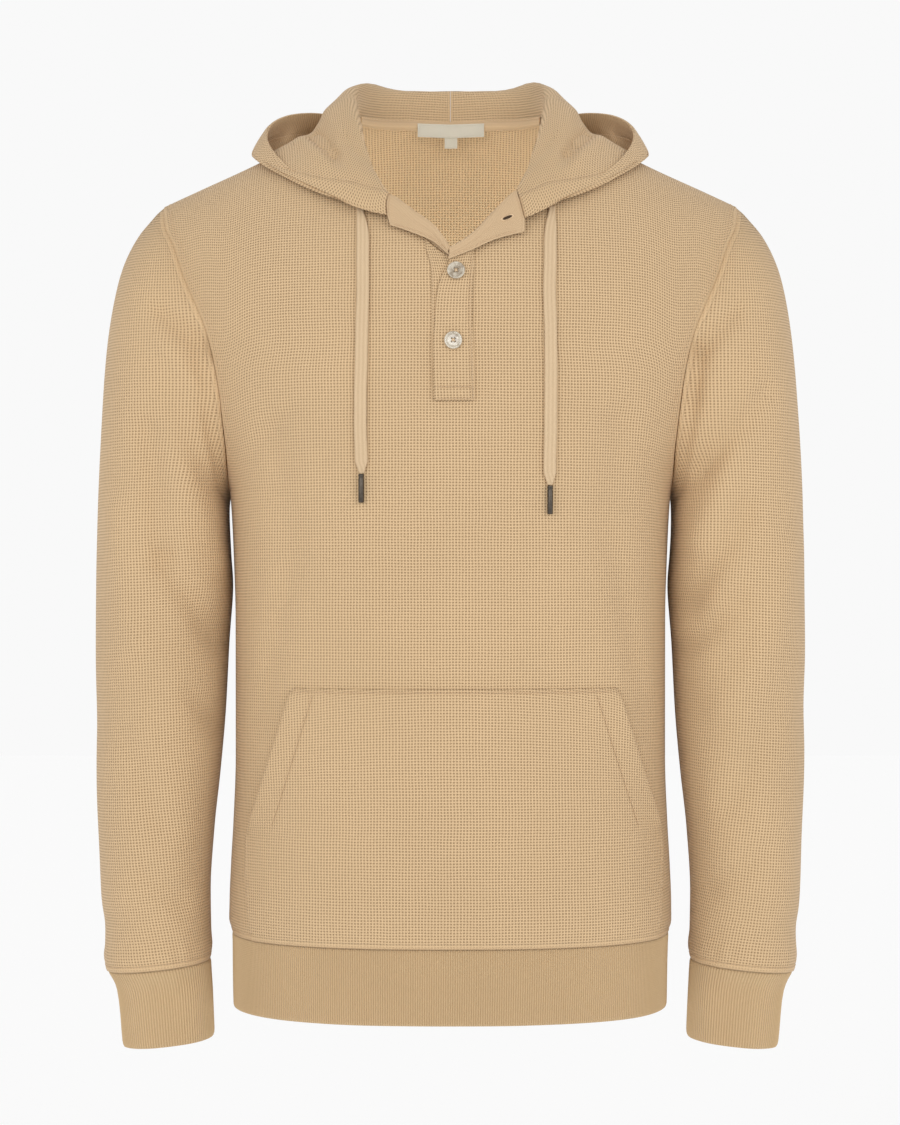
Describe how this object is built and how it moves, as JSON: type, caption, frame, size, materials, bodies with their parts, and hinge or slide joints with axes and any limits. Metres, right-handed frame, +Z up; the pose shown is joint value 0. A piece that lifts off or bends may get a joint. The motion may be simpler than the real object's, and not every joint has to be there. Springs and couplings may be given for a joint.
{
  "type": "hooded pullover",
  "caption": "Waffle-knit pullover hoodie with a buttoned henley placket, kangaroo pocket, ribbed cuffs and waistband, hollow and filled out as if worn.",
  "frame": {"origin": "between the wearer's shoulders, on the centre plane, level with the upper back just under the neck opening's back edge", "axes": "+X towards the wearer's left, -Y the way the chest faces, +Z up"},
  "size_m": [0.5562, 0.2842, 0.7618],
  "materials": {
    "waffle_knit": "matte waffle knit",
    "rib_knit": "matte rib knit",
    "plain_knit": "matte plain knit",
    "woven_tape": "matte woven tape",
    "label_cloth": "soft woven satin",
    "button_plastic": "polished horn look",
    "tip_metal": "dark gunmetal"
  },
  "bodies": {
    "root": {"front_panel": "waffle_knit", "back_panel": "waffle_knit", "sleeve_left": "waffle_knit", "sleeve_right": "waffle_knit", "hood_left": "waffle_knit", "hood_right": "waffle_knit", "kangaroo_pocket": "waffle_knit", "placket_overlap": "waffle_knit", "placket_underlap": "waffle_knit", "placket_facing_left": "plain_knit", "placket_facing_right": "plain_knit", "neck_tape": "plain_knit", "cuff_left": "rib_knit", "cuff_right": "rib_knit", "waistband": "rib_knit", "button_upper": "button_plastic", "button_lower": "button_plastic", "neck_label": "label_cloth", "size_tab": "label_cloth", "drawstring_left": "woven_tape", "drawstring_right": "woven_tape", "aglet_left": "tip_metal", "aglet_right": "tip_metal"}
  },
  "joints": []
}
